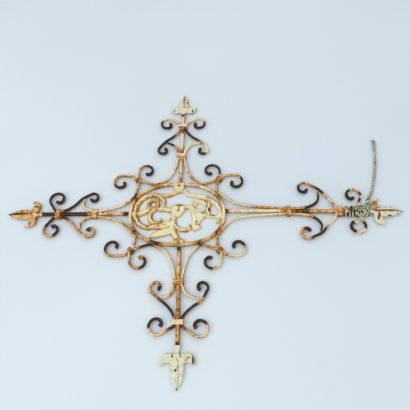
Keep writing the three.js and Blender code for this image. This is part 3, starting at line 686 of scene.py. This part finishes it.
# Bracket scrolls: eight lengths of the same bar, each curled at its corner, bent past the ring and
# drawn out to a thin tail. They keep more paint than the S-scrolls, apart from the curls' ends.
bracket_swell = [(-0.2, 0.05, 0.26), (0.05, 0.84, 0.08), (0.84, 1.2, 0.45)]
bracket_wear = {
    "head_left": ([(0.0, 0.16, 0.85)], [(0.16, 0.34, 0.2), (0.5, 0.62, 0.2), (0.76, 0.9, 0.25)]),
    "head_right": ([(0.0, 0.12, 0.85), (0.49, 0.54, 0.5)],
                   [(0.12, 0.35, 0.15), (0.47, 0.58, 0.35), (0.6, 1.0, -0.2)]),
    "right_arm_upper": ([(0.0, 0.14, 0.9), (0.92, 1.0, 0.7)],
                        [(0.14, 0.2, 0.3), (0.2, 0.3, -0.2), (0.42, 0.5, 0.3), (0.55, 0.8, -0.25),
                         (0.86, 1.0, 0.4)]),
    "right_arm_lower": ([(0.0, 0.15, 0.9), (0.15, 0.27, 0.5)],
                        [(0.15, 0.28, 0.3), (0.33, 0.5, 0.25), (0.6, 1.0, -0.25)]),
    "left_arm_upper": ([(0.04, 0.13, 0.8), (0.36, 0.50, 0.5)],
                       [(0.0, 0.2, 0.15), (0.33, 0.54, 0.4), (0.56, 0.8, -0.3), (0.8, 0.92, 0.2)]),
    "left_arm_lower": ([(0.0, 0.15, 0.9), (0.46, 0.50, 0.4)],
                       [(0.15, 0.26, -0.2), (0.33, 0.5, 0.25), (0.53, 1.0, -0.3)]),
    "foot_right": ([(0.0, 0.13, 0.85), (0.84, 0.98, 0.75)],
                   [(0.13, 0.4, 0.25), (0.42, 0.55, -0.2), (0.6, 1.0, 0.2)]),
    "foot_left": ([(0.0, 0.09, 0.9), (0.92, 1.0, 0.85)],
                  [(0.1, 0.2, -0.15), (0.2, 0.4, 0.25), (0.42, 0.74, -0.25), (0.78, 1.0, 0.1)]),
}
bracket_iron = weathered("bracket_iron", loss=0.38, shift=5.3)
for seed, (where, (bare, rust)) in enumerate(bracket_wear.items(), start=20):
    forge("bracket_" + where, "bracket_scroll_" + where, THIN_STOCK, bracket_iron,
          bare, rust, seed=seed, swell=bracket_swell)

# Collars: straps of flat bar bent hot round the bars, their ends lapped at the back. Those of the
# right arm are still cream, and those of the head, the foot and the corners are rusty.
STRAP_EDGE = 0.0007  # how far the straps' edges are rounded
LONG_EDGE = 0.003  # edges longer than this are cut, so that they can be dented
CORNER_WEAR = 0.28


def set_wear(mesh, rule):
    """Gives each point its own rust and dark, from a rule of its place and the way it faces."""
    values = [rule(v.co, v.normal) for v in mesh.vertices]
    for i, key in enumerate(("rust", "dark")):
        mesh.attributes.new(key, "FLOAT", "POINT").data.foreach_set("value", [v[i] for v in values])


def dress(name, node, mesh, material, rule):
    """A finished mesh in the place of its solid."""
    shape = bpy.data.meshes.new(name)
    mesh.to_mesh(shape)
    mesh.free()
    shape.materials.append(material)
    shape.shade_smooth()
    set_wear(shape, rule)
    piece = placed(name, shape)
    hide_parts(node)
    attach(piece, "root")
    return piece


collar_iron = weathered("collar_iron", loss=0.45, shift=7.9, rust=colour(0.87, 0.58, 0.22))
collar_wear = {
    "collar_head_outer": 0.22, "collar_head_inner": -0.1,
    "collar_right_arm_outer": -0.3, "collar_right_arm_inner": -0.15,
    "collar_left_arm_outer": -0.3, "collar_left_arm_inner": 0.15,
    "collar_foot_outer": 0.2, "collar_foot_inner": 0.1,
    "corner_collar_upper_right": CORNER_WEAR, "corner_collar_upper_left": CORNER_WEAR,
    "corner_collar_lower_right": CORNER_WEAR, "corner_collar_lower_left": CORNER_WEAR}
for node, wear in collar_wear.items():
    mesh = merged(node)
    bmesh.ops.join_triangles(
        mesh, faces=mesh.faces, angle_face_threshold=0.1, angle_shape_threshold=3.1)
    bmesh.ops.bevel(mesh, geom=mesh.edges[:], offset=STRAP_EDGE, segments=3, profile=0.5,
                    affect="EDGES")
    bmesh.ops.subdivide_edges(mesh, edges=[e for e in mesh.edges if e.calc_length() > LONG_EDGE],
                              cuts=4, use_grid_fill=True)
    mesh.normal_update()
    for v in mesh.verts:
        v.co += v.normal * (noise.noise(v.co * 160) * 0.0003 - 0.0001)
    dark = CORNER_WEAR if "corner" in node else 0.0
    dress(node.replace("collar", "strap"), node, mesh, collar_iron,
          lambda p, n: (wear, dark))

# Finials: four castings of a spear blade between two swept leaves, on a moulded socket. The head's
# is ochre with rust, the arms' are cream, and the foot's is cream with rust on its rib and leaves.
BLADE = 0.089  # from a finial's base to the tip of its blade
FINIAL_VOXEL = 0.0008


def remeshed(node, voxel):
    """A solid's shape as one even skin, a little softened, as sand casting leaves it."""
    mesh = merged(node)
    shape = bpy.data.meshes.new(node)
    mesh.to_mesh(shape)
    mesh.free()
    rough = placed(node + "_rough", shape)
    even = rough.modifiers.new("even", "REMESH")
    even.mode, even.voxel_size = "VOXEL", voxel
    soft = rough.modifiers.new("soft", "SMOOTH")
    soft.factor, soft.iterations = 0.5, 2
    made = made_real(rough)
    skin = bmesh.new()
    skin.from_mesh(made)
    bpy.data.meshes.remove(made)
    skin.normal_update()
    return skin


def limited(share):
    """A share kept between 0 and 1."""
    return max(0.0, min(1.0, share))


def arm_frame(degrees, shift, along):
    """A finial's own place: its base, the way out and the way across."""
    out = Vector((math.cos(math.radians(degrees)), math.sin(math.radians(degrees)), 0))
    return Vector((*shift, 0)) + out * along, out, Vector((-out.y, out.x, 0))


# Each finial's place, its loss of paint, the colour of its rust, and its rusty spots; two of the left
# arm's are painted shade in its dimples.
finials = {
    "head": (arm_frame(180, (0, 0), 0.339), 0.55, colour(0.94, 0.71, 0.36), [
        (0.060, 0.001, 0.026, 0.0020, 0.3, 0.7), (0.086, 0.000, 0.004, 0.003, 0.3, 0.6),
        (0.022, 0.018, 0.007, 0.005, 0.2, 0.12), (0.032, 0.013, 0.005, 0.004, 0.2, 0.16),
        (0.018, -0.022, 0.006, 0.004, 0.2, 0.38), (0.014, -0.005, 0.008, 0.0025, 0.2, 0.35),
        (0.0, 0.0, 0.004, 0.006, 0.0, 0.3)]),
    "right_arm": (arm_frame(90, (0.005, 0), 0.320), 0.02, colour(0.80, 0.58, 0.32), [
        (0.005, 0.0015, 0.0042, 0.0046, 0.5, 0.75), (0.062, 0.001, 0.018, 0.0013, 0.6, 0.40),
        (0.056, -0.011, 0.010, 0.0016, 0.5, 0.38), (0.060, 0.012, 0.010, 0.0012, 0.4, 0.25),
        (0.023, 0.027, 0.0035, 0.0025, 0.4, 0.55), (0.023, -0.026, 0.005, 0.002, 0.4, 0.55),
        (0.038, 0.0, 0.0014, 0.014, 0.5, 0.1), (0.060, 0.0, 0.020, 0.010, 0.12, 0.0)]),
    "left_arm": (arm_frame(-88.5, (0.006, 0), 0.321), -0.26, colour(0.78, 0.56, 0.30), [
        (0.0503, -0.0025, 0.0026, 0.0022, 0.5, 0.85), (0.088, -0.001, 0.003, 0.003, 0.5, 0.9),
        # These two dark spots, either side of the stem where the leaves spring, are painted shade in
        # the dimples, with a little rust.
        (0.0215, 0.0070, 0.0026, 0.0022, 0.3, 0.55), (0.0215, -0.0105, 0.0026, 0.0022, 0.3, 0.55),
        (0.033, 0.0325, 0.006, 0.0022, 0.6, 0.7), (0.026, 0.0235, 0.005, 0.0025, 0.5, 0.30),
        (0.030, 0.0185, 0.002, 0.002, 0.4, 0.5), (0.070, -0.003, 0.012, 0.0010, 0.4, 0.15)]),
    "foot": (arm_frame(FOOT_LEAN, (0, FOOT_ASIDE), 0.469), -0.06, colour(0.80, 0.52, 0.22), [
        (0.052, 0.0015, 0.022, 0.0022, 0.6, 1.1), (0.022, 0.004, 0.007, 0.006, 0.7, 0.15),
        (0.029, -0.010, 0.0030, 0.007, 0.5, 0.55), (0.025, -0.019, 0.0022, 0.006, 0.5, 0.60),
        (0.054, -0.0115, 0.0035, 0.0020, 0.5, 0.65), (0.076, -0.007, 0.003, 0.0015, 0.4, 0.35),
        (0.087, -0.001, 0.003, 0.003, 0.4, 0.6), (0.022, 0.022, 0.014, 0.010, 0.75, 0.22),
        (0.040, 0.0, 0.008, 0.012, 0.2, 0.0)]),
}
for arm, ((base, out, side), loss, tint, spots) in finials.items():
    skin = remeshed("finial_" + arm, FINIAL_VOXEL)
    for v in skin.verts:
        along, aside = (v.co - base).dot(out), (v.co - base).dot(side)
        wide = abs(aside)
        on_blade = limited((along - 0.32 * BLADE) / 0.008)
        rib = math.exp(-(aside / 0.0016) ** 2) * on_blade
        hollow = math.exp(-((wide - 0.0048) / 0.0026) ** 2) * on_blade
        crease = math.exp(-((along - 0.42 * BLADE - 0.15 * wide) / 0.0013) ** 2)
        dimple = math.exp(-((along - 0.0215) ** 2 + (wide - 0.009) ** 2) / 0.0026 ** 2)
        vein = math.exp(-((along - 0.026 - 0.25 * wide) / 0.0012) ** 2) * (wide > 0.011)
        relief = (0.0009 * rib - 0.0011 * hollow - 0.0009 * crease - 0.0016 * dimple
                  - 0.0008 * vein)
        v.co += v.normal * (max(0.0, v.normal.z) * relief + 0.0002 * noise.noise(v.co * 240)
                            + 0.0004 * noise.noise(v.co * 70))
    finial_iron = weathered(
        "finial_iron_" + arm, loss=loss, grain=0.9, shift=len(arm) * 1.3, rust=tint,
        paint=colour(0.91, 0.91, 0.82), old_paint=colour(0.88, 0.88, 0.76))
    dress("finial_cast_" + arm, "finial_" + arm, skin, finial_iron,
          lambda p, n: spotted((p - base).dot(out), (p - base).dot(side), spots))

# The openwork casting: sand-cast scrolls, leaves and bosses in one piece, held inside the ring. Its
# head side is the rustier, and rust with painted shade sits in the hollows beside every band.
CASTING_VOXEL = 0.0009
FULLNESS = 0.0013  # how much fuller the old paint makes every band
SHOULDER = 0.0048  # how far in from a band's edge its top starts to fall
CROWN = 0.0024  # how much lower the top is at the edge
TOP_FACING = 0.6  # points that face further up than this are on top
fuller = [(-0.064, -0.018, 0.014, 0.0016), (0.045, 0.000, 0.022, 0.0010),
          (0.060, 0.050, 0.030, 0.0008), (-0.020, -0.050, 0.020, 0.0008),
          (-0.095, 0.010, 0.030, 0.0006), (0.000, 0.070, 0.025, 0.0008)]
casting_spots = [
    (0.003, 0.082, 0.010, 0.009, 0.5, 0.15), (-0.063, 0.027, 0.016, 0.013, 0.45, 0.22),
    (-0.063, 0.023, 0.006, 0.005, 0.2, 0.3), (-0.107, -0.026, 0.005, 0.012, 0.5, 0.45),
    (-0.045, -0.028, 0.009, 0.005, 0.6, 0.18), (-0.030, -0.032, 0.007, 0.004, 0.6, 0.18),
    (-0.072, -0.038, 0.006, 0.005, 0.3, 0.25), (0.005, 0.022, 0.016, 0.003, 0.5, 0.35),
    (0.004, 0.008, 0.010, 0.010, 0.5, 0.0), (0.003, 0.010, 0.0035, 0.006, 0.3, 0.35),
    (0.003, -0.076, 0.012, 0.008, 0.7, 0.25), (0.007, -0.081, 0.007, 0.005, 0.4, 0.12),
    (0.022, -0.051, 0.014, 0.004, 0.5, 0.35), (0.036, -0.038, 0.004, 0.005, 0.5, 0.35),
    (0.050, -0.027, 0.004, 0.009, 0.5, 0.35), (0.080, 0.010, 0.0035, 0.005, 0.5, 0.60),
    (0.080, 0.030, 0.0035, 0.012, 0.5, 0.20), (0.090, -0.007, 0.014, 0.002, 0.5, 0.35),
    (0.080, 0.045, 0.010, 0.006, 0.5, 0.10), (-0.010, 0.055, 0.012, 0.006, 0.4, 0.10),
    (-0.050, 0.058, 0.020, 0.006, 0.3, 0.15), (-0.098, 0.020, 0.010, 0.030, 0.35, 0.05)]
skin = remeshed("openwork_casting", CASTING_VOXEL)
for v in skin.verts:
    face = max(0.0, v.normal.z)
    more = sum(grow * math.exp(-((v.co.x - x) ** 2 + (v.co.y - y) ** 2) / size ** 2)
               for x, y, size, grow in fuller)
    v.co += v.normal * ((FULLNESS + more) * (1 - 0.75 * face) + 0.0003 * noise.noise(v.co * 210)
                        + 0.0012 * noise.noise(v.co * 75) * face)
    v.co.z = max(v.co.z, 0.0)
skin.normal_update()
rim_points = [v.co.copy() for v in skin.verts if v.normal.z < TOP_FACING]
rim = kdtree.KDTree(len(rim_points))
for i, p in enumerate(rim_points):
    rim.insert(p, i)
rim.balance()


def shoulder(p, n):
    """How near a point is to a band's edge: 0 along its middle and 1 on its side."""
    return (1 - min(1.0, rim.find(p)[2] / SHOULDER)) if n.z >= TOP_FACING else 1.0


falls = [CROWN * shoulder(v.co, v.normal) ** 2 if v.normal.z >= TOP_FACING else 0.0
         for v in skin.verts]
for v, fall in zip(skin.verts, falls):
    v.co.z -= fall
skin.normal_update()


def casting_wear_and_shade(p, n):
    """More rust on the head side and in patches; beside the edges of every band, rust with painted
    shade, darkest on the head side's steep faces.
    """
    rust, dark = spotted(p.x, p.y, casting_spots)
    head_side = limited((0.02 - p.x) / 0.09)
    beside = shoulder(p, n) ** 1.5
    edge = limited((0.62 - n.z) / 0.4)
    rust += 0.30 * noise.noise(p * 90) + 0.12 * noise.noise(p * 260)
    # Painted shade with the rust: band tops turn rustier toward their edges, and steep faces darker on
    # the head side.
    return (rust - 0.26 + 0.42 * head_side + (0.34 + 0.24 * head_side) * beside + 0.10 * edge,
            dark + 0.12 * head_side * edge)


casting_iron = weathered("casting_iron", loss=-0.08, grain=0.9, shift=11.0, relief=0.0009,
                         rust=colour(0.96, 0.76, 0.41), deep_rust=colour(0.66, 0.42, 0.15),
                         paint=colour(0.94, 0.93, 0.81), old_paint=colour(0.93, 0.89, 0.70))
dress("casting", "openwork_casting", skin, casting_iron, casting_wear_and_shade)

# The ground: a sheet of pale bluish paper, faintly clouded. The light is overcast, from a broad
# window, a ceiling and a bright sky, so that there is hardly a shadow.
paper, tree, shader = new_material("pale_paper")
place = put(tree, "ShaderNodeTexCoord").outputs["Object"]
tint = ramp(tree, noise_at(tree, place, 1.2, 2.0),
            [(0.35, colour(0.86, 0.905, 0.93)), (0.65, colour(0.885, 0.925, 0.945))])
tree.links.new(tint, shader.inputs["Base Color"])
shader.inputs["Roughness"].default_value = 1.0
shader.inputs["Specular IOR Level"].default_value = 0.1
ground = bpy.data.meshes.new("ground")
ground.from_pydata([(-4, -4, 0), (4, -4, 0), (4, 4, 0), (-4, 4, 0)], [], [(0, 1, 2, 3)])
ground.materials.append(paper)
floor = placed("ground", ground)

sky = bpy.data.worlds.new("overcast")
sky.use_nodes = True
sky.node_tree.nodes["Background"].inputs["Color"].default_value = (0.93, 0.96, 1.0, 1.0)
sky.node_tree.nodes["Background"].inputs["Strength"].default_value = 0.62
bpy.context.scene.world = sky
LAMP_SIZE = 3.0
for name, spot, power in (("window", (-1.3, -1.1, 2.5), 34.0), ("ceiling", (0.5, 0.9, 2.4), 11.0)):
    lamp = bpy.data.lights.new(name, "AREA")
    lamp.shape, lamp.size, lamp.energy = "DISK", LAMP_SIZE, power
    light = placed(name, lamp)
    light.location = spot
    light.rotation_euler = (-Vector(spot)).to_track_quat("-Z", "Y").to_euler()
